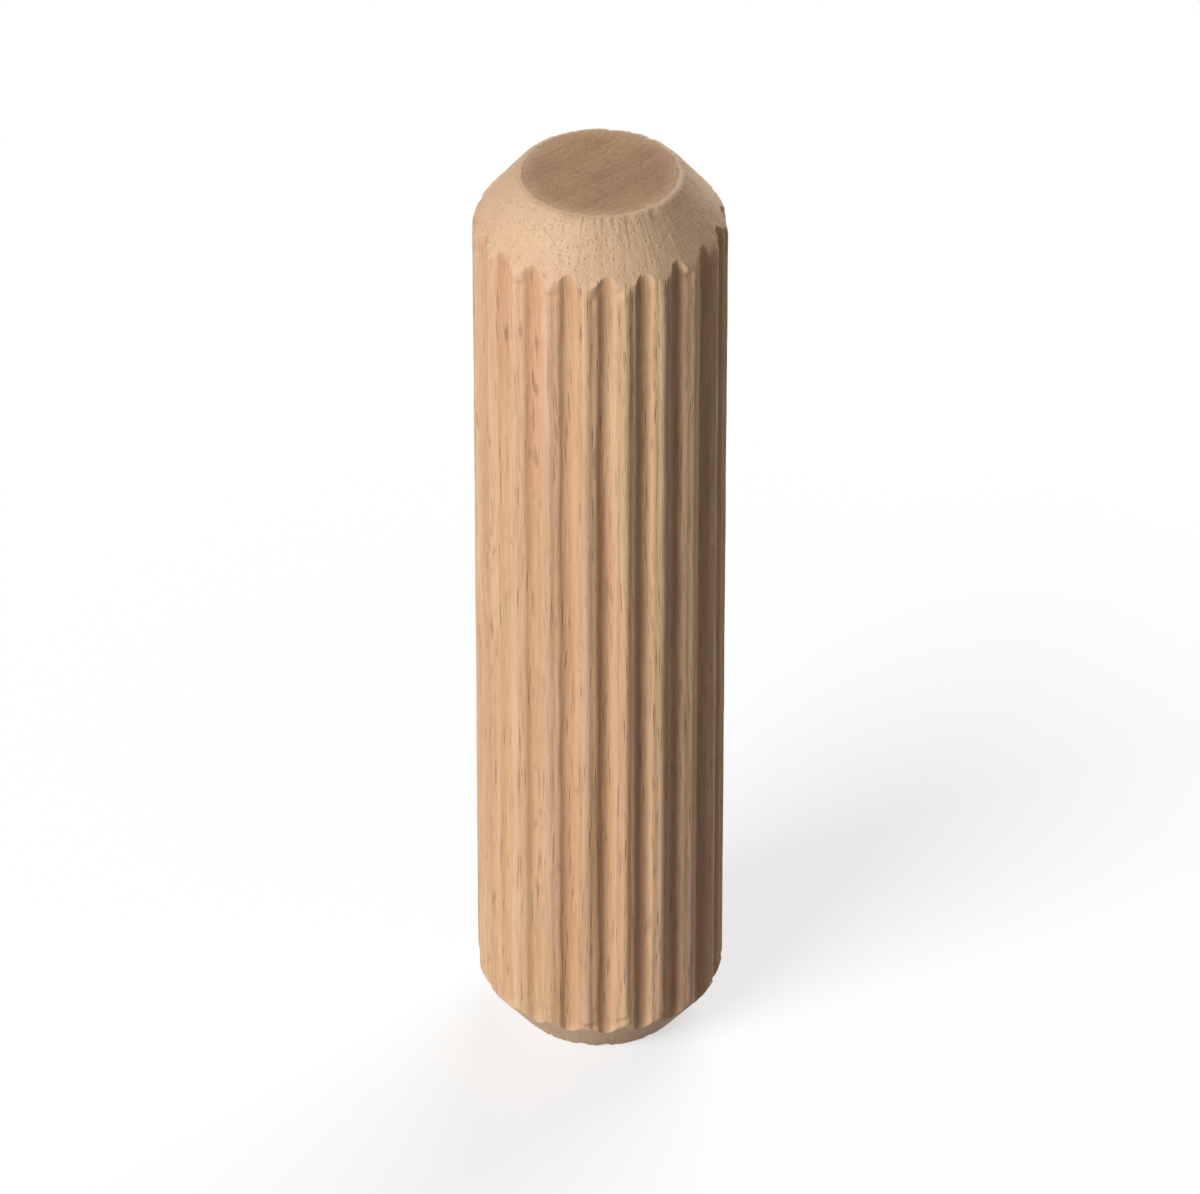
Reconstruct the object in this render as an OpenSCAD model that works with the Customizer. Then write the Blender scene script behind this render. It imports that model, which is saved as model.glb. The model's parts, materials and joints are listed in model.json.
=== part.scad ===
// Fluted dowel pin: one turned stick of wood with straight flutes pressed along it and a
// chamfer at each end. It stands on one end face, with its axis along Z.

/* [Stick] */
// Length from one end face to the other
dowel_length = 40; // [20:1:80]
// Diameter over the ridges between the flutes
dowel_d = 10; // [9:0.5:16]

/* [Flutes] */
// Number of flutes round the stick
flute_count = 20; // [12:1:22]
// Depth of a flute below the ridges
flute_depth = 0.32; // [0.28:0.01:0.4]
// Radius of a flute's hollow floor
flute_floor_r = 0.25; // [0.2:0.01:0.28]
// Radius that rounds a ridge's edge down into the flute
ridge_edge_r = 0.2; // [0.1:0.01:0.24]

/* [Ends] */
// Length of a chamfer along the axis
chamfer_length = 2.2; // [1.4:0.1:4]
// Depth of a chamfer, from the ridges in to the end face's rim
chamfer_depth = 1.75; // [1.2:0.05:2.5]
// Radius that eases the chamfer into the stick's side
chamfer_heel_r = 1.2; // [0.4:0.1:2]
// Radius that eases the chamfer into the end face
chamfer_rim_r = 0.35; // [0.1:0.05:0.5]

/* [Hidden] */
$fn = 96;

dowel_r = dowel_d / 2;
cut_past = 1;
arc_bite = 0.003;

// Centres of a flute's floor circle and of the two circles that round its edges. An edge
// circle all but touches the ridge from inside and the floor circle from outside: it passes
// each by arc_bite, so that the curves cross at a clean point.
flute_floor_x = dowel_r - flute_depth + flute_floor_r;
ridge_edge_x = dowel_r - ridge_edge_r + arc_bite;
centre_gap = flute_floor_r + ridge_edge_r - arc_bite;
flute_half_angle = acos(
    (pow(flute_floor_x, 2) + pow(ridge_edge_x, 2) - pow(centre_gap, 2))
    / (2 * flute_floor_x * ridge_edge_x));

// A chamfer's slope from the axis, and how far each easing reaches along its two sides
chamfer_angle = atan2(chamfer_depth, chamfer_length);
heel_reach = chamfer_heel_r * tan(chamfer_angle / 2);
rim_reach = chamfer_rim_r * tan((90 - chamfer_angle) / 2);
end_face_r = dowel_r - chamfer_depth;

function polar(r, angle) = [r * cos(angle), r * sin(angle)];

// Section of what one flute takes away, with its mouth towards +X
module flute_section() {
    difference() {
        union() {
            translate([flute_floor_x, 0])
                circle(r = flute_floor_r);
            polygon([
                [flute_floor_x, 0],
                polar(ridge_edge_x, -flute_half_angle),
                polar(dowel_r + cut_past, -flute_half_angle),
                polar(dowel_r + cut_past, flute_half_angle),
                polar(ridge_edge_x, flute_half_angle)
            ]);
        }
        for (side = [-1, 1])
            translate(polar(ridge_edge_x, side * flute_half_angle))
                circle(r = ridge_edge_r);
    }
}

// Half section of the lower end, from the axis out to the stick's side
module end_half_section() {
    polygon([
        [0, 0],
        [end_face_r - rim_reach, 0],
        [end_face_r + rim_reach * sin(chamfer_angle), rim_reach * cos(chamfer_angle)],
        [dowel_r - heel_reach * sin(chamfer_angle), chamfer_length - heel_reach * cos(chamfer_angle)],
        [dowel_r, chamfer_length + heel_reach],
        [dowel_r, dowel_length / 2],
        [0, dowel_length / 2]
    ]);
    translate([end_face_r - rim_reach, chamfer_rim_r])
        circle(r = chamfer_rim_r);
    translate([dowel_r - chamfer_heel_r, chamfer_length + heel_reach])
        circle(r = chamfer_heel_r);
}

// The stick as turned, with both ends chamfered
module turned_stick() {
    rotate_extrude()
        union() {
            end_half_section();
            translate([0, dowel_length])
                mirror([0, 1])
                    end_half_section();
        }
}

module dowel_pin() {
    color("burlywood")
        difference() {
            turned_stick();
            for (i = [0 : flute_count - 1])
                rotate([0, 0, (i + 0.5) * 360 / flute_count])
                    translate([0, 0, -cut_past])
                        linear_extrude(dowel_length + 2 * cut_past)
                            flute_section();
        }
}

dowel_pin();
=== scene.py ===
import json
import math
import bpy
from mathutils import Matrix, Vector, noise


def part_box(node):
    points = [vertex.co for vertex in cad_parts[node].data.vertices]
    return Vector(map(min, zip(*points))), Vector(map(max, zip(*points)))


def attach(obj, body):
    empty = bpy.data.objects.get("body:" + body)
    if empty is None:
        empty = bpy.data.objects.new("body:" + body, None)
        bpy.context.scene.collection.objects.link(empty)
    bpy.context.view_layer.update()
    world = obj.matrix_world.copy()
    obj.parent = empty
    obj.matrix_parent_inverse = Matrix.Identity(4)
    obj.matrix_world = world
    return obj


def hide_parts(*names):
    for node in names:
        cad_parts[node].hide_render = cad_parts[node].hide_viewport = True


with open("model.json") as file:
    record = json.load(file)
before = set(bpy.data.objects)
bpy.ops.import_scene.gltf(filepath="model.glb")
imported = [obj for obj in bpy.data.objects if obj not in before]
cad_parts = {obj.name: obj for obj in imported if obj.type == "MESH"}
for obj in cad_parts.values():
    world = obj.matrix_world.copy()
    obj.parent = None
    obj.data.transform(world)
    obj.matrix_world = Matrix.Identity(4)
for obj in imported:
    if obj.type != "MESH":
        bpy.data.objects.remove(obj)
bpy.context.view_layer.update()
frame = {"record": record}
mm = 0.001
print("frame loaded")


# The stick's own sizes, its mesh and its wear. Its length and thickness come from the frame.
barrel = next(m for m in frame["record"]["mounts"] if m["name"] == "barrel")
stickFoot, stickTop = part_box("dowel_pin")
stick = {
    "length": stickTop.z - stickFoot.z,
    "radius": barrel["dims"]["r_mm"] * mm,
    "fluteCount": 20,
    "fluteDepth": 0.36 * mm,
    "fluteFloorRadius": 0.34 * mm,
    "ridgeEdgeRadius": 0.26 * mm,
    "chamferLength": 2.2 * mm,
    "chamferDepth": 1.75 * mm,
    "heelRadius": 1.2 * mm,
    "rimRadius": 0.35 * mm,

    # Where the mesh has its points: steps along each stretch of the outline, and rings of points
    # at heights in mm from an end, close together where the flutes run out
    "rows": {
        "fluteFloor": 4,
        "ridgeEdge": 4,
        "ridgeTop": 3,
        "rimRings": [0.0, 0.006, 0.02, 0.045, 0.08, 0.125],
        "coneRings": [(0.19, 1.35, 11), (1.35, 2.85, 29), (2.85, 3.9, 7)],
        "sideStart": 3.9,
        "sideRings": 78,
        "faceRings": 12,
    },

    # How the real stick strays from its sizes, nearly all of it inwards or sideways. "across" and
    # "along" are the size of one mark in mm, "step" and "sideStep" keep one flute's noise apart
    # from the next one's and its left edge apart from its right, "over" is what the noise has to
    # pass, and "fade" is how fast a mark comes or goes with the depth in a flute.
    "wear": {
        # one flute deeper than the next, and each a little sideways along the stick
        "fluteSpread": {"depth": 0.09 * mm, "along": 26, "step": 7.31, "seed": 3.7},
        "fluteWander": {"depth": 0.05 * mm, "along": 7, "step": 5.13, "sideStep": 0, "seed": 1.3},
        # ragged ridge edges
        "edgeFray": {"depth": 0.045 * mm},
        "fineFray": {"share": 0.6, "along": 0.7, "step": 3.3, "sideStep": 11.7, "seed": 4.1},
        "slowFray": {"share": 0.8, "along": 2.4, "step": 2.9, "sideStep": -6.1, "seed": 8.9},
        # splinters gone from a ridge's edge, with a little of its top, and how pale they leave it
        "nick": {"depth": 0.16 * mm, "along": 1.15, "step": 4.7, "sideStep": 2.3, "seed": 15.5,
                 "over": 0.42, "onEdge": 1.6, "onRidge": 0.35, "pale": 1.4},
        # how much lower a ridge is at its edges, and the slow hollows along it
        "ridgeCrown": {"depth": 0.09 * mm},
        "ridgeDip": {"depth": 0.035 * mm, "across": 1.1, "along": 4.5, "fade": 2.5},
        # single fibres
        "fibre": {"depth": 0.012 * mm, "across": 0.13, "along": 2.6},
        "fineFibre": {"depth": 0.006 * mm, "across": 0.07, "along": 0.9},
        # ridge corners lost where they meet the chamfer, between these heights from the end
        "crumble": {"depth": 0.14 * mm, "across": 0.45, "along": 0.5,
                    "begins": (1.5 * mm, 2.1 * mm), "ends": (2.4 * mm, 3.3 * mm)},
        # flats and pits where the cutter tore the chamfer
        "chamferFlat": {"depth": 0.045 * mm, "across": 0.95, "along": 1.5},
        "chamferPit": {"depth": 0.05 * mm, "across": 0.17, "along": 0.5, "over": 0.3},
        "coneEnds": (2.3 * mm, 2.9 * mm),
        # wood pushed up round a flute's end
        "lip": {"depth": 0.035 * mm, "width": 0.07 * mm, "fade": 3},
        # crumbs gone from the end faces' rims
        "rimChip": {"depth": 0.16 * mm, "across": 0.55, "seed": 31.5, "over": 0.15,
                    "ends": (0.02 * mm, 0.4 * mm)},
        "rimCrumb": {"share": 0.35, "across": 0.2, "seed": 7.5},
        # how softly the chamfer's cut meets the flutes, and where it counts as cut
        "cutBlend": 0.045 * mm,
        "cutStarts": (-0.03 * mm, 0.05 * mm),
        "upperShift": 20.0,    # keeps the upper end's noise apart from the lower end's
    },

    # What the saw leaves on the end faces: arcs round a pivot outside the stick, and pits
    "sawMarks": {
        "depth": 0.014 * mm,
        "pivot": (-9.0, 4.0, 0.0),    # mm
        "pitch": 0.55,                # mm
        "wander": 2.2,
        "wanderSeed": 3,
        "arcShare": 0.5,
        "pitShare": 0.9,
        "pitAcross": 0.16,
        "pitSeed": 9.5,
        "fade": 0.12,                 # share of the radius in from the rim
    },
}


def steps(first, last, count):
    return [first + (last - first) * i / count for i in range(count)]


def eased(value, low, high):
    t = min(max((value - low) / (high - low), 0.0), 1.0)
    return t * t * (3 - 2 * t)


def softMin(a, b, blend):
    h = min(max(0.5 + 0.5 * (b - a) / blend, 0.0), 1.0)
    return b * (1 - h) + a * h - blend * h * (1 - h)


def wander(x, y, z):
    return noise.noise(Vector((x, y, z)))


# Noise along the stick, in a row of its own for each flute and for each side of it
def rowNoise(mark, flute, side, z):
    return wander(flute * mark["step"] + side * mark["sideStep"], z / mark["along"], mark["seed"])


# Noise through the wood, in marks of one size across the fibres and another along them
def woodNoise(mark, x, y, z, shift=0.0):
    return wander(x / mark["across"], y / mark["across"], z / mark["along"] + shift)


# One flute and the ridge beside it as (angle, radius, depth, shoulder). Angles start at the
# flute's centre, depth runs from 0 on the ridge to 1 on the flute's floor, and shoulder from 0
# at the ridge's middle to 1 at its edge.
def fluteOutline(s):
    r = s["rows"]
    floorX = s["radius"] - s["fluteDepth"] + s["fluteFloorRadius"]
    edgeX = s["radius"] - s["ridgeEdgeRadius"]
    gap = s["fluteFloorRadius"] + s["ridgeEdgeRadius"]
    halfAngle = math.acos((floorX ** 2 + edgeX ** 2 - gap ** 2) / (2 * floorX * edgeX))
    edge = Vector((edgeX * math.cos(halfAngle), edgeX * math.sin(halfAngle)))
    turn = math.atan2(edge.y, edge.x - floorX)
    half = []
    for a in steps(math.pi, turn, r["fluteFloor"]):
        half.append(Vector((floorX + s["fluteFloorRadius"] * math.cos(a),
                            s["fluteFloorRadius"] * math.sin(a))))
    for a in steps(turn - math.pi, halfAngle, r["ridgeEdge"]):
        half.append(edge + s["ridgeEdgeRadius"] * Vector((math.cos(a), math.sin(a))))
    halfPitch = math.pi / s["fluteCount"]
    for a in steps(halfAngle, halfPitch, r["ridgeTop"]):
        half.append(s["radius"] * Vector((math.cos(a), math.sin(a))))
    points = []
    for p in half:
        angle = math.atan2(p.y, p.x)
        shoulder = min((halfPitch - angle) / (halfPitch - halfAngle), 1.0)
        points.append((angle, p.length, (s["radius"] - p.length) / s["fluteDepth"], shoulder))
    left = [(-angle, *spot) for angle, *spot in reversed(points[1:])]
    return left + points + [(halfPitch, s["radius"], 0.0, 0.0)]


# Heights of the rings of points from the lower end face to the upper one
def ringHeights(s):
    r = s["rows"]
    cone = [h for stretch in r["coneRings"] for h in steps(*stretch)]
    end = [h * mm for h in r["rimRings"] + cone]
    sideStart = r["sideStart"] * mm
    middle = steps(sideStart, s["length"] - sideStart, r["sideRings"])
    return end + middle + [s["length"] - h for h in [sideStart] + end[::-1]]


# Radius of the stick as turned, before it is fluted, at a height from its nearer end
def turnedRadius(height, s):
    slope = math.atan2(s["chamferDepth"], s["chamferLength"])
    heelReach = s["heelRadius"] * math.tan(slope / 2)
    rimReach = s["rimRadius"] * math.tan((math.pi / 2 - slope) / 2)
    faceRadius = s["radius"] - s["chamferDepth"]
    height = max(height, 0.0)
    if height >= s["chamferLength"] + heelReach:
        return s["radius"]
    if height > s["chamferLength"] - heelReach * math.cos(slope):
        drop = s["chamferLength"] + heelReach - height
        return s["radius"] - s["heelRadius"] + math.sqrt(s["heelRadius"] ** 2 - drop ** 2)
    if height < rimReach * math.cos(slope):
        rise = s["rimRadius"] - height
        return faceRadius - rimReach + math.sqrt(max(s["rimRadius"] ** 2 - rise ** 2, 0.0))
    return faceRadius + height * math.tan(slope)


# The turned radius with what the cutter and the saw tore from it
def wornEndRadius(s, x, y, z, fromEnd, onCone, shift):
    w = s["wear"]
    turned = turnedRadius(fromEnd, s)
    turned -= onCone * w["chamferFlat"]["depth"] * abs(woodNoise(w["chamferFlat"], x, y, z, shift))
    pit = max(woodNoise(w["chamferPit"], x, y, z, shift) - w["chamferPit"]["over"], 0.0)
    turned -= onCone * w["chamferPit"]["depth"] * pit
    chip, crumb = w["rimChip"], w["rimCrumb"]
    gone = max(wander(x / chip["across"], y / chip["across"], chip["seed"] + shift) - chip["over"], 0.0)
    gone += crumb["share"] * max(
        wander(x / crumb["across"], y / crumb["across"], crumb["seed"] + shift), 0.0)
    return turned - chip["depth"] * gone * (1 - eased(fromEnd, *chip["ends"]))


# The stick's surface at one place: its angle, its radius and the three masks that its wood is
# coloured by, which are how deep in a flute (this one also paints shade into the flutes), how much cut by
# the chamfer and how worn it is
def woodSurface(s, flute, angle, radius, depth, shoulder, height):
    w = s["wear"]
    z = height / mm
    fromEnd = min(height, s["length"] - height)
    shift = w["upperShift"] if height > s["length"] / 2 else 0.0
    side = 1 if angle > 0 else -1
    onEdge = 4 * depth * (1 - depth) if 0 < depth < 1 else 0.0
    onRidge = 1 - min(depth * w["ridgeDip"]["fade"], 1.0)
    onCone = 1 - eased(fromEnd, *w["coneEnds"])

    a = (flute + 0.5) * 2 * math.pi / s["fluteCount"] + angle
    a += depth * w["fluteWander"]["depth"] * rowNoise(w["fluteWander"], flute, side, z) / s["radius"]
    fray = w["fineFray"]["share"] * rowNoise(w["fineFray"], flute, side, z)
    fray += w["slowFray"]["share"] * rowNoise(w["slowFray"], flute, side, z)
    a += side * onEdge * fray * w["edgeFray"]["depth"] / s["radius"]
    x, y = s["radius"] / mm * math.cos(a), s["radius"] / mm * math.sin(a)

    spread = w["fluteSpread"]
    level = radius - depth * spread["depth"] * wander(flute * spread["step"], spread["seed"],
                                                      z / spread["along"])
    level -= w["ridgeCrown"]["depth"] * shoulder ** 2 * (1 - depth)
    level -= onRidge * w["ridgeDip"]["depth"] * abs(woodNoise(w["ridgeDip"], x, y, z))
    nick = max(rowNoise(w["nick"], flute, side, z) - w["nick"]["over"], 0.0)
    nick *= min(onEdge * w["nick"]["onEdge"] + onRidge * w["nick"]["onRidge"], 1.0)
    level -= w["nick"]["depth"] * nick
    loss = max(woodNoise(w["crumble"], x, y, z, shift), 0.0)
    corner = eased(fromEnd, *w["crumble"]["begins"]) * (1 - eased(fromEnd, *w["crumble"]["ends"]))
    level -= w["crumble"]["depth"] * loss * corner * (1 - depth)

    turned = wornEndRadius(s, x, y, z, fromEnd, onCone, shift)
    gap = level - turned
    lip = max(1 - abs(gap / w["lip"]["width"]), 0.0) * onCone * min(depth * w["lip"]["fade"], 1.0)
    final = softMin(level, turned, w["cutBlend"]) + w["lip"]["depth"] * lip * lip
    for fibre in (w["fibre"], w["fineFibre"]):
        final += fibre["depth"] * woodNoise(fibre, x, y, z)
    hollow = min(max(-gap / s["fluteDepth"], 0.0), 1.0)
    cut = eased(gap, *w["cutStarts"])
    return a, final, hollow, cut, min(onEdge * (1 - cut) + w["nick"]["pale"] * nick + lip, 1.0)


# How deep the saw went at a place on an end face, with the place in mm
def sawDepth(m, x, y, inward, upper):
    far = math.hypot(x - m["pivot"][0], y - m["pivot"][1])
    arc = 0.5 + 0.5 * math.sin(far / m["pitch"] * 2 * math.pi + m["wander"] * wander(x, y, m["wanderSeed"]))
    pit = max(wander(x / m["pitAcross"], y / m["pitAcross"], m["pitSeed"] + upper), 0.0)
    return m["depth"] * (m["arcShare"] * arc + m["pitShare"] * pit) * eased(inward, 0.0, m["fade"])


# The side is rings of points, and each end face is closed by smaller rings round its centre
def buildStick(s):
    outline = fluteOutline(s)
    heights = ringHeights(s)
    around = len(outline) * s["fluteCount"]
    points, masks = [], []
    for height in heights:
        for flute in range(s["fluteCount"]):
            for place in outline:
                a, level, *spot = woodSurface(s, flute, *place, height)
                points.append((level * math.cos(a), level * math.sin(a), height))
                masks.append(spot)
    faces = []
    for ring in range(len(heights) - 1):
        low, high = ring * around, (ring + 1) * around
        for i in range(around):
            j = (i + 1) % around
            faces.append((low + i, low + j, high + j, high + i))
    sideFaces = len(faces)
    for upper in (0, 1):
        start = (len(heights) - 1) * around if upper else 0
        rim = points[start:start + around]
        previous = start
        for k in range(1, s["rows"]["faceRings"] + 1):
            share = 1 - k / s["rows"]["faceRings"]
            first = len(points)
            for x, y, z in rim if share else rim[:1]:
                px, py = x * share / mm, y * share / mm
                sink = sawDepth(s["sawMarks"], px, py, 1 - share, upper)
                points.append((px * mm, py * mm, z - sink if upper else z + sink))
                masks.append((0.0, 1.0, 0.0))
            for i in range(around):
                j = (i + 1) % around
                fan = (previous + i, previous + j)
                fan += (first + j, first + i) if share else (first,)
                faces.append(fan if upper else fan[::-1])
            previous = first
    mesh = bpy.data.meshes.new("dowelPinWood")
    mesh.from_pydata(points, [], faces)
    for column, name in enumerate(("flute", "cutEnd", "wornEdge")):
        values = [spot[column] for spot in masks]
        mesh.attributes.new(name, "FLOAT", "POINT").data.foreach_set("value", values)
    mesh.polygons.foreach_set("use_smooth", [True] * len(faces))
    mesh.polygons.foreach_set("material_index", [0] * sideFaces + [1] * (len(faces) - sideFaces))
    mesh.update()
    piece = bpy.data.objects.new("dowelPinWood", mesh)
    bpy.context.scene.collection.objects.link(piece)
    return piece


# Node helpers. An input is a plain value, or a socket to link from.
def addNode(tree, kind, inputs=None, **settings):
    node = tree.nodes.new(kind)
    for name, value in settings.items():
        setattr(node, name, value)
    for key, value in (inputs or {}).items():
        if isinstance(value, bpy.types.NodeSocket):
            tree.links.new(value, node.inputs[key])
        else:
            node.inputs[key].default_value = value
    return node


def calc(tree, operation, a, b=0.0, c=0.0):
    return addNode(tree, "ShaderNodeMath", {0: a, 1: b, 2: c}, operation=operation).outputs[0]


def addUp(tree, first, *others):
    total = first
    for value in others:
        total = calc(tree, "ADD", total, value)
    return total


def vectorCalc(tree, operation, a, b=None, scale=None):
    inputs = {0: a}
    if b is not None:
        inputs[1] = b
    if scale is not None:
        inputs["Scale"] = scale
    return addNode(tree, "ShaderNodeVectorMath", inputs, operation=operation).outputs[0]


def vectorLength(tree, vector):
    return addNode(tree, "ShaderNodeVectorMath", {0: vector}, operation="LENGTH").outputs["Value"]


def ramp(tree, value, low, high, start=0.0, end=1.0):
    inputs = {"Value": value, "From Min": low, "From Max": high, "To Min": start, "To Max": end}
    return addNode(tree, "ShaderNodeMapRange", inputs, interpolation_type="SMOOTHSTEP").outputs["Result"]


def blendColour(tree, share, a, b, kind="MIX"):
    node = addNode(tree, "ShaderNodeMix", data_type="RGBA", blend_type=kind)
    for key, value in (("Factor_Float", share), ("A_Color", a), ("B_Color", b)):
        socket = next(s for s in node.inputs if s.identifier == key)
        if isinstance(value, bpy.types.NodeSocket):
            tree.links.new(value, socket)
        else:
            socket.default_value = value
    return next(s for s in node.outputs if s.identifier == "Result_Color")


def objectPlace(tree):
    return addNode(tree, "ShaderNodeTexCoord").outputs["Object"]


# Noise along one line, such as the radius of a ring or a height
def lineNoise(tree, value, detail):
    node = addNode(tree, "ShaderNodeTexNoise", {"W": value, "Scale": 1.0, "Detail": detail},
                   noise_dimensions="1D")
    return node.outputs["Fac"]


def grainNoise(tree, place, squeeze, detail, roughness=0.5):
    squeezed = vectorCalc(tree, "MULTIPLY", place, squeeze)
    node = addNode(tree, "ShaderNodeTexNoise", {
        "Vector": squeezed, "Scale": 1.0, "Detail": detail, "Roughness": roughness})
    return node.outputs["Fac"]


# Slim cells with pointed ends, of which only a share shows, some of it faintly
def grainCells(tree, place, cell, size, softness, share, faint=0.2):
    squeezed = vectorCalc(tree, "DIVIDE", place, cell)
    node = addNode(tree, "ShaderNodeTexVoronoi", {
        "Vector": squeezed, "Scale": 1.0, "Randomness": 1.0}, distance="MANHATTAN")
    kind = addNode(tree, "ShaderNodeSeparateColor", {0: node.outputs["Color"]})
    return calc(tree, "MULTIPLY", ramp(tree, node.outputs["Distance"], size, size * softness),
                ramp(tree, kind.outputs[1], 1 - share, 1 - share + faint))


def newGroup(name, inputs, outputs):
    group = bpy.data.node_groups.new(name, "ShaderNodeTree")
    for label, kind, value in inputs:
        socket = group.interface.new_socket(name=label, in_out="INPUT", socket_type=kind)
        if value is not None:
            socket.default_value = value
    for label, kind in outputs:
        group.interface.new_socket(name=label, in_out="OUTPUT", socket_type=kind)
    return group, addNode(group, "NodeGroupInput").outputs, addNode(group, "NodeGroupOutput")


# Solid beech: growth rings round a pith outside the stick, rays that run out from the pith,
# vessels and fibres along the stick. It is worked out through the wood, so the same rings and
# rays show on the side, the chamfers and the end faces. Noise is squeezed per mm, the cells are
# in mm, and a shade is a ramp's (low, high) and, where it isn't 0 to 1, its (start, end).
figure = {
    "pith": (-31.0, 12.0, 0.0),      # mm from the stick's axis
    "lean": (0.022, -0.013),         # how far the fibres lean from the axis
    "bend": 1.6,                     # mm that the fibres stray
    "bendSqueeze": (0.11, 0.11, 0.045),
    "coarseFibre": {"squeeze": (4.2, 4.2, 0.10), "detail": 4.0, "roughness": 0.6},
    "fineFibre": {"squeeze": (15.0, 15.0, 0.55), "detail": 2.0, "roughness": 0.6},
    "patch": {"squeeze": (0.42, 0.42, 0.07), "detail": 2.5},
    "blush": {"squeeze": (0.24, 0.24, 0.05), "detail": 1.5},
    "coarseShade": (0.34, 0.68),
    "fineShade": (0.36, 0.7, -0.3, 0.5),
    "patchShade": (0.34, 0.68, 0.0, 0.34),
    "blushShade": (0.42, 0.6),
    "ringWidth": 1.55,
    "ringDrift": 1.4,                # how much the rings differ in width
    "ringSqueeze": 0.21,
    "ringDarkens": (0.35, 0.93),     # share of a ring's width, slow to darken
    "ringEnds": (0.995, 0.94),       # and quick to end
    "rays": {"cell": (0.13, 1.1, 1.5), "size": 0.52, "softness": 0.5, "share": 0.38},
    "rayFray": 1.2,                  # mm that the fibres shift a ray's ends
    "vessels": {"cell": (0.115, 0.115, 2.3), "size": 0.56, "softness": 0.4, "share": 0.45},
    "fineVessels": {"cell": (0.07, 0.07, 1.1), "size": 0.56, "softness": 0.4, "share": 0.5},
    "fineVesselDepth": 0.5,
    "relief": {"coarse": 0.6, "fine": 0.35, "vessel": -0.55, "ring": -0.1},
}
figureInputs = [
    ("Place", "NodeSocketVector", None),
    ("Pale", "NodeSocketColor", (0.7, 0.45, 0.27, 1)),
    ("Rosy", "NodeSocketColor", (0.66, 0.42, 0.27, 1)),
    ("Deep", "NodeSocketColor", (0.5, 0.29, 0.15, 1)),
    ("Fleck", "NodeSocketColor", (0.3, 0.15, 0.07, 1)),
    ("Ring depth", "NodeSocketFloat", 0.3),
    ("Ray depth", "NodeSocketFloat", 0.4),
    ("Vessel depth", "NodeSocketFloat", 0.3),
    ("Fibre depth", "NodeSocketFloat", 0.3),
]
figureOutputs = [("Color", "NodeSocketColor"), ("Relief", "NodeSocketFloat")]


def buildFigureGroup(f):
    tree, given, result = newGroup("beechFigure", figureInputs, figureOutputs)

    # the place in the wood, bent and leaning as the fibres run
    inMm = vectorCalc(tree, "SCALE", given["Place"], scale=1 / mm)
    height = addNode(tree, "ShaderNodeSeparateXYZ", {0: inMm}).outputs[2]
    slow = addNode(tree, "ShaderNodeTexNoise", {
        "Vector": vectorCalc(tree, "MULTIPLY", inMm, f["bendSqueeze"]), "Scale": 1.0, "Detail": 2.0})
    bend = vectorCalc(tree, "SUBTRACT", slow.outputs["Color"], (0.5, 0.5, 0.5))
    bend = vectorCalc(tree, "SCALE", bend, scale=f["bend"])
    lean = addNode(tree, "ShaderNodeCombineXYZ", {
        axis: calc(tree, "MULTIPLY", height, slant) for axis, slant in enumerate(f["lean"])})
    bent = vectorCalc(tree, "ADD", vectorCalc(tree, "ADD", inMm, bend), lean.outputs[0])

    # out from the pith, and across as an arc round it
    grain = addNode(tree, "ShaderNodeSeparateXYZ", {0: vectorCalc(tree, "SUBTRACT", bent, f["pith"])})
    gx, gy = grain.outputs[0], grain.outputs[1]
    squares = addUp(tree, calc(tree, "MULTIPLY", gx, gx), calc(tree, "MULTIPLY", gy, gy))
    out = calc(tree, "SQRT", squares)
    across = calc(tree, "MULTIPLY", calc(tree, "ARCTAN2", gy, gx), math.hypot(*f["pith"]))

    coarse = grainNoise(tree, bent, **f["coarseFibre"])
    fine = grainNoise(tree, bent, **f["fineFibre"])
    patch = grainNoise(tree, bent, **f["patch"])
    blush = grainNoise(tree, bent, **f["blush"])

    drift = lineNoise(tree, calc(tree, "MULTIPLY", out, f["ringSqueeze"]), 1.0)
    count = addUp(tree, calc(tree, "DIVIDE", out, f["ringWidth"]),
                  calc(tree, "MULTIPLY", drift, f["ringDrift"]))
    within = calc(tree, "FRACT", count)
    ring = calc(tree, "MULTIPLY", ramp(tree, within, *f["ringDarkens"]), ramp(tree, within, *f["ringEnds"]))

    # rays stand out from the pith, with ends that the fibres make ragged
    rayPlace = addNode(tree, "ShaderNodeCombineXYZ", {
        0: across, 1: out, 2: calc(tree, "MULTIPLY_ADD", coarse, f["rayFray"], height)})
    ray = grainCells(tree, rayPlace.outputs[0], **f["rays"])
    fineVessel = calc(tree, "MULTIPLY", grainCells(tree, bent, **f["fineVessels"]), f["fineVesselDepth"])
    vessel = calc(tree, "MAXIMUM", grainCells(tree, bent, **f["vessels"]), fineVessel)

    shade = addUp(
        tree,
        calc(tree, "MULTIPLY", ring, given["Ring depth"]),
        ramp(tree, patch, *f["patchShade"]),
        calc(tree, "MULTIPLY", ramp(tree, coarse, *f["coarseShade"]), given["Fibre depth"]),
        calc(tree, "MULTIPLY", ramp(tree, fine, *f["fineShade"]), given["Fibre depth"]))
    shade = addNode(tree, "ShaderNodeClamp", {0: shade}).outputs[0]
    colour = blendColour(tree, ramp(tree, blush, *f["blushShade"]), given["Pale"], given["Rosy"])
    colour = blendColour(tree, shade, colour, given["Deep"])
    for mask, depth in ((ray, given["Ray depth"]), (vessel, given["Vessel depth"])):
        colour = blendColour(tree, calc(tree, "MULTIPLY", mask, depth), colour, given["Fleck"])
    heights = {"coarse": coarse, "fine": fine, "vessel": vessel, "ring": ring}
    relief = addUp(tree, *[calc(tree, "MULTIPLY", heights[key], f["relief"][key]) for key in heights])
    tree.links.new(colour, result.inputs["Color"])
    tree.links.new(relief, result.inputs["Relief"])
    return tree


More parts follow.
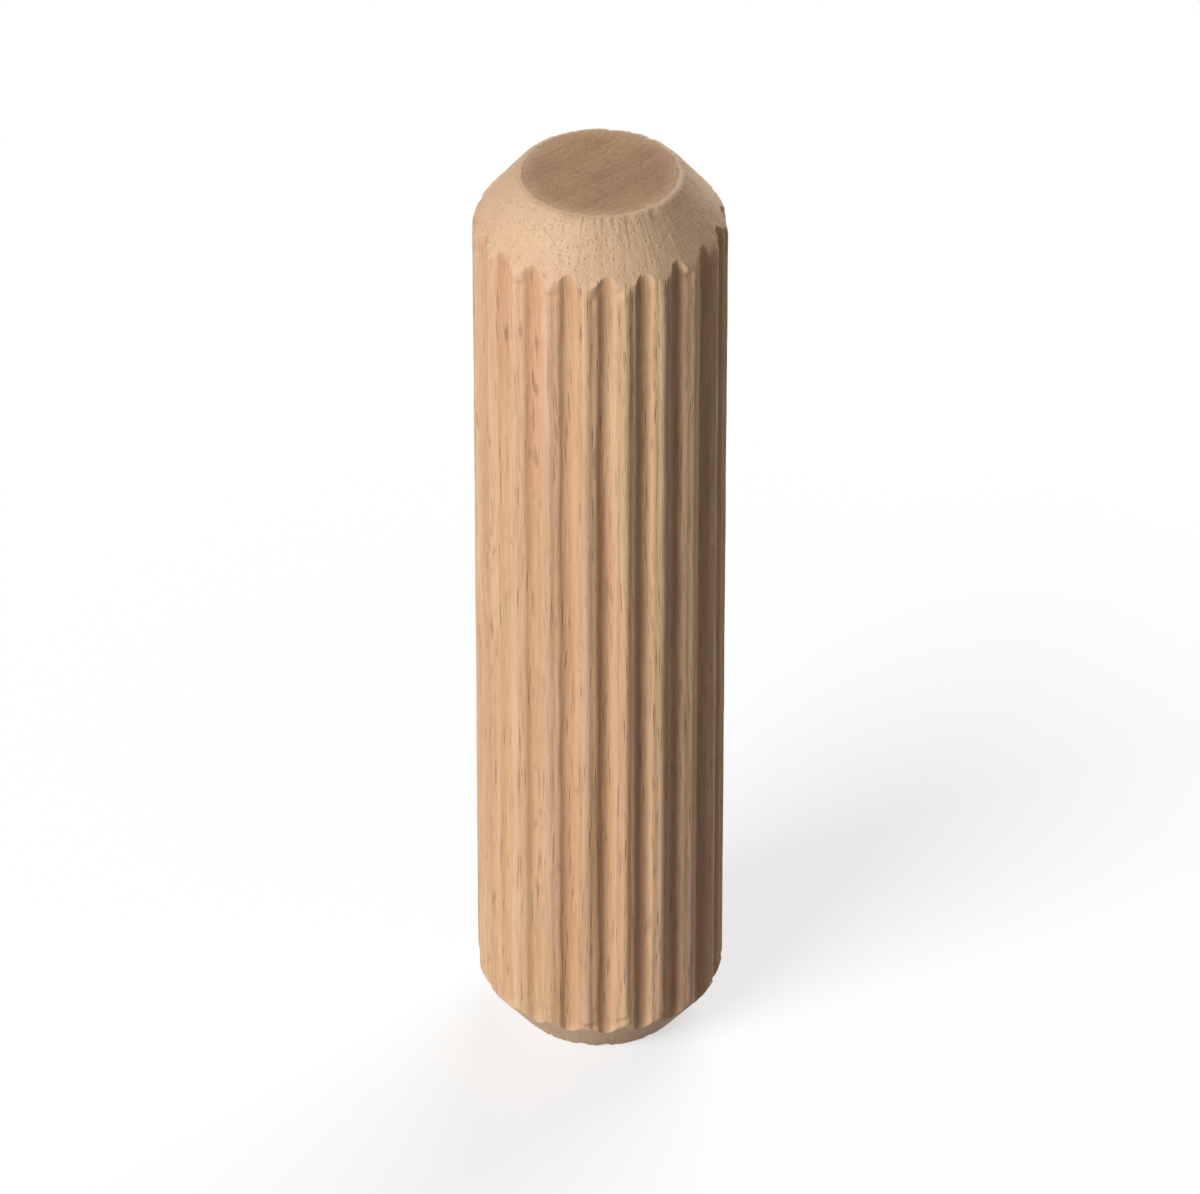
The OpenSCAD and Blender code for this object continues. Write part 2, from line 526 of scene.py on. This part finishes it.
def newMaterial(name):
    material = bpy.data.materials.new(name)
    material.use_nodes = True
    tree = material.node_tree
    return material, tree, tree.nodes["Principled BSDF"]


def attribute(tree, name):
    return addNode(tree, "ShaderNodeAttribute", attribute_name=name).outputs["Fac"]


def placeFigure(tree, figureGroup, look):
    grain = addNode(tree, "ShaderNodeGroup", node_tree=figureGroup)
    tree.links.new(objectPlace(tree), grain.inputs["Place"])
    for label, value in look["figure"].items():
        grain.inputs[label].default_value = value
    return grain.outputs["Color"], grain.outputs["Relief"]


def flatPlace(tree):
    return vectorCalc(tree, "MULTIPLY", objectPlace(tree), (1.0, 1.0, 0.0))


def bumpUp(tree, skin, height, distance):
    bump = addNode(tree, "ShaderNodeBump", {"Height": height, "Distance": distance, "Strength": 1.0})
    tree.links.new(bump.outputs[0], skin.inputs["Normal"])


sideWood = {
    "figure": {
        "Pale": (0.72, 0.495, 0.30, 1), "Rosy": (0.70, 0.43, 0.28, 1), "Deep": (0.52, 0.31, 0.17, 1),
        "Fleck": (0.30, 0.155, 0.075, 1),
        "Ring depth": 0.26, "Ray depth": 0.5, "Vessel depth": 0.36, "Fibre depth": 0.42,
    },
    # Painted shade: the flutes are darkened and warmed by their depth, partly the pressed wood's own darker
    # tone and partly painted shade in the hollows
    "fluteStainAndShade": (0.70, 0.53, 0.34, 1),
    "fluteStainAndShadeDepth": 0.4,
    "chamferPale": (0.66, 0.455, 0.29, 1),
    "chamferShare": 0.5,
    "rimDeep": (0.50, 0.34, 0.21, 1),    # end grain shows through towards the rim
    "rimShare": 0.45,
    "rimStart": 3.1 * mm,
    "rimEnd": 4.2 * mm,
    "wornShare": 0.35,
    "roughness": (0.0, 0.7, 0.47, 0.7),  # a ramp over the relief
    "fluteRoughness": 0.14,
    "specular": 0.32,
    "turnedRings": 9000.0,               # per m, fine rings that the cutter leaves round a chamfer
    "turnedDepth": 0.45,
    "reliefDepth": 0.035 * mm,
}


def buildSideWood(look, figureGroup):
    material, tree, skin = newMaterial("flutedSide")
    colour, relief = placeFigure(tree, figureGroup, look)
    cutEnd, flute = attribute(tree, "cutEnd"), attribute(tree, "flute")
    cutShare = calc(tree, "MULTIPLY", cutEnd, look["chamferShare"])
    colour = blendColour(tree, cutShare, colour, look["chamferPale"])
    rim = ramp(tree, vectorLength(tree, flatPlace(tree)), look["rimStart"], look["rimEnd"],
               look["rimShare"], 0.0)
    colour = blendColour(tree, rim, colour, look["rimDeep"])
    wornShare = calc(tree, "MULTIPLY", attribute(tree, "wornEdge"), look["wornShare"])
    colour = blendColour(tree, wornShare, colour, look["chamferPale"])
    # painted shade in the flutes: darkens and warms the wood by how deep it lies in a flute, with a little
    # of the pressed wood's own tone
    stainAndShade = calc(tree, "MULTIPLY", flute, look["fluteStainAndShadeDepth"])
    colour = blendColour(tree, stainAndShade, colour, look["fluteStainAndShade"], "MULTIPLY")
    tree.links.new(colour, skin.inputs["Base Color"])
    rough = ramp(tree, relief, *look["roughness"])
    rough = calc(tree, "MULTIPLY_ADD", flute, look["fluteRoughness"], rough)
    tree.links.new(rough, skin.inputs["Roughness"])
    skin.inputs["Specular IOR Level"].default_value = look["specular"]

    height = addNode(tree, "ShaderNodeSeparateXYZ", {0: objectPlace(tree)}).outputs[2]
    turned = lineNoise(tree, calc(tree, "MULTIPLY", height, look["turnedRings"]), 2.0)
    turned = calc(tree, "MULTIPLY", turned, calc(tree, "MULTIPLY", cutEnd, look["turnedDepth"]))
    bumpUp(tree, skin, addUp(tree, relief, turned), look["reliefDepth"])
    return material


sawnEnd = {
    "figure": {
        "Pale": (0.46, 0.285, 0.16, 1), "Rosy": (0.42, 0.255, 0.145, 1), "Deep": (0.31, 0.18, 0.10, 1),
        "Fleck": (0.17, 0.09, 0.05, 1),
        "Ring depth": 0.24, "Ray depth": 0.3, "Vessel depth": 0.5, "Fibre depth": 0.3,
    },
    "rimPale": (0.57, 0.39, 0.25, 1),
    "rimStart": 2.3 * mm,
    "rimEnd": 3.2 * mm,
    "rimShare": 0.75,
    "mottle": 900.0,             # per m, which breaks up the rim and the arcs
    "rimMottle": (0.3, 0.6, 0.5, 1.0),
    "arcMottle": (0.35, 0.6),
    "arcPitch": 0.33,            # mm, finer than the arcs in the mesh
    "arcWander": 5.0,
    "arcShade": (-0.2, 1.0, 0.0, 0.2),
    "arcRelief": 0.2,
    "roughness": 0.85,
    "specular": 0.2,
    "reliefDepth": 0.032 * mm,
}


def buildSawnEnd(look, pivot, figureGroup):
    material, tree, skin = newMaterial("sawnEnd")
    colour, relief = placeFigure(tree, figureGroup, look)
    flat = flatPlace(tree)
    fromPivot = vectorLength(tree, vectorCalc(
        tree, "SUBTRACT", vectorCalc(tree, "SCALE", flat, scale=1 / mm), pivot))
    mottle = addNode(tree, "ShaderNodeTexNoise", {
        "Vector": objectPlace(tree), "Scale": look["mottle"], "Detail": 3.0}).outputs["Fac"]
    arcs = calc(tree, "SINE", calc(tree, "MULTIPLY_ADD", fromPivot, 2 * math.pi / look["arcPitch"],
                                   calc(tree, "MULTIPLY", mottle, look["arcWander"])))
    arcs = calc(tree, "MULTIPLY", arcs, ramp(tree, mottle, *look["arcMottle"]))
    rim = ramp(tree, vectorLength(tree, flat), look["rimStart"], look["rimEnd"], 0.0, look["rimShare"])
    rim = calc(tree, "MULTIPLY", rim, ramp(tree, mottle, *look["rimMottle"]))
    colour = blendColour(tree, rim, colour, look["rimPale"])
    colour = blendColour(tree, ramp(tree, arcs, *look["arcShade"]), colour, look["figure"]["Deep"])
    tree.links.new(colour, skin.inputs["Base Color"])
    skin.inputs["Roughness"].default_value = look["roughness"]
    skin.inputs["Specular IOR Level"].default_value = look["specular"]
    height = calc(tree, "MULTIPLY_ADD", arcs, look["arcRelief"], relief)
    bumpUp(tree, skin, height, look["reliefDepth"])
    return material


pin = buildStick(stick)
print("stick built:", len(pin.data.vertices), "points,", len(pin.data.polygons), "faces")
figureGroup = buildFigureGroup(figure)
pin.data.materials.append(buildSideWood(sideWood, figureGroup))
pin.data.materials.append(buildSawnEnd(sawnEnd, stick["sawMarks"]["pivot"], figureGroup))
print("beech put on it:", ", ".join(m.name for m in pin.data.materials))
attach(pin, "root")
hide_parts("dowel_pin")


view = {
    "turn": 24,          # degrees round the stick
    "rise": 35,
    "reach": 0.4,
    "lens": 302,
    "aimHeight": 0.5,    # share of the stick's length
}

# A lamp's turn is counted from the camera's
studio = {
    "floorHalf": 1.2,
    "floorColour": (0.27, 0.27, 0.27, 1),
    "floorRoughness": 0.9,
    "floorSpecular": 0.1,
    "floorLight": 1.03,      # what the lamps together bring to the floor
    "floorShown": 1.04,      # just over white where it is lit
    "shadowDepth": 0.42,
    "shadowReach": (0.014, 0.045),
    "worldLight": 0.11,
    "lamps": {
        "keyLamp": {"turn": -45, "rise": 24, "reach": 0.55, "width": 0.3, "height": 0.3, "power": 3.55},
        "fillLamp": {"turn": 156, "rise": 30, "reach": 0.6, "width": 0.45, "height": 0.3, "power": 2.7},
    },
}
white = (1, 1, 1, 1)


def direction(turn, rise):
    t, e = math.radians(turn), math.radians(rise)
    return Vector((math.sin(t) * math.cos(e), -math.cos(t) * math.cos(e), math.sin(e)))


def aimAt(thing, target):
    thing.rotation_euler = (target - thing.location).to_track_quat("-Z", "Y").to_euler()


# 1 where the camera sees a surface itself or in a reflection, 0 where it only lights the stick
def seenShare(tree):
    path = addNode(tree, "ShaderNodeLightPath").outputs
    mirrored = calc(tree, "MAXIMUM", path["Is Glossy Ray"], path["Is Transmission Ray"])
    return calc(tree, "MAXIMUM", path["Is Camera Ray"], mirrored)


# To the camera the floor is white, less the stick's shadow near its foot
def buildFloor(st):
    mesh = bpy.data.meshes.new("floor")
    h = st["floorHalf"]
    mesh.from_pydata([(-h, -h, 0), (h, -h, 0), (h, h, 0), (-h, h, 0)], [], [(0, 1, 2, 3)])
    floor = bpy.data.objects.new("floor", mesh)
    bpy.context.scene.collection.objects.link(floor)
    material, tree, skin = newMaterial("paperFloor")
    skin.inputs["Base Color"].default_value = st["floorColour"]
    skin.inputs["Roughness"].default_value = st["floorRoughness"]
    skin.inputs["Specular IOR Level"].default_value = st["floorSpecular"]
    shade = st["shadowDepth"]
    paper = addNode(tree, "ShaderNodeBsdfDiffuse", {"Color": (shade, shade, shade, 1)})
    rest = st["floorShown"] - shade * st["floorLight"]
    glow = addNode(tree, "ShaderNodeEmission", {"Color": white, "Strength": rest})
    shadowed = addNode(tree, "ShaderNodeAddShader", {0: paper.outputs[0], 1: glow.outputs[0]})
    bare = addNode(tree, "ShaderNodeEmission", {"Color": white, "Strength": 1.0})
    fade = ramp(tree, vectorLength(tree, objectPlace(tree)), *st["shadowReach"])
    shown = addNode(tree, "ShaderNodeMixShader", {0: fade, 1: shadowed.outputs[0], 2: bare.outputs[0]})
    mix = addNode(tree, "ShaderNodeMixShader", {
        0: seenShare(tree), 1: skin.outputs[0], 2: shown.outputs[0]})
    tree.links.new(mix.outputs[0], tree.nodes["Material Output"].inputs["Surface"])
    mesh.materials.append(material)


def buildWorld(st):
    world = bpy.data.worlds.new("studio")
    world.use_nodes = True
    tree = world.node_tree
    soft = tree.nodes["Background"]
    soft.inputs["Color"].default_value = white
    soft.inputs["Strength"].default_value = st["worldLight"]
    bare = addNode(tree, "ShaderNodeBackground", {"Color": white, "Strength": 1.0})
    mix = addNode(tree, "ShaderNodeMixShader", {
        0: seenShare(tree), 1: soft.outputs[0], 2: bare.outputs[0]})
    tree.links.new(mix.outputs[0], tree.nodes["World Output"].inputs["Surface"])
    bpy.context.scene.world = world


def buildLamp(name, look, cameraTurn, target):
    lamp = bpy.data.lights.new(name, "AREA")
    lamp.shape = "RECTANGLE"
    lamp.size = look["width"]
    lamp.size_y = look["height"]
    lamp.energy = look["power"]
    holder = bpy.data.objects.new(name, lamp)
    bpy.context.scene.collection.objects.link(holder)
    holder.location = target + direction(cameraTurn + look["turn"], look["rise"]) * look["reach"]
    aimAt(holder, target)


def buildCamera(v, target):
    camera = bpy.data.objects.new("camera", bpy.data.cameras.new("camera"))
    bpy.context.scene.collection.objects.link(camera)
    camera.data.lens = v["lens"]
    camera.location = target + direction(v["turn"], v["rise"]) * v["reach"]
    aimAt(camera, target)
    bpy.context.scene.camera = camera


middle = Vector((0, 0, stick["length"] * view["aimHeight"]))
buildFloor(studio)
buildWorld(studio)
for name, look in studio["lamps"].items():
    buildLamp(name, look, view["turn"], middle)
buildCamera(view, middle)
bpy.context.scene.view_settings.view_transform = "Standard"
print("studio built")
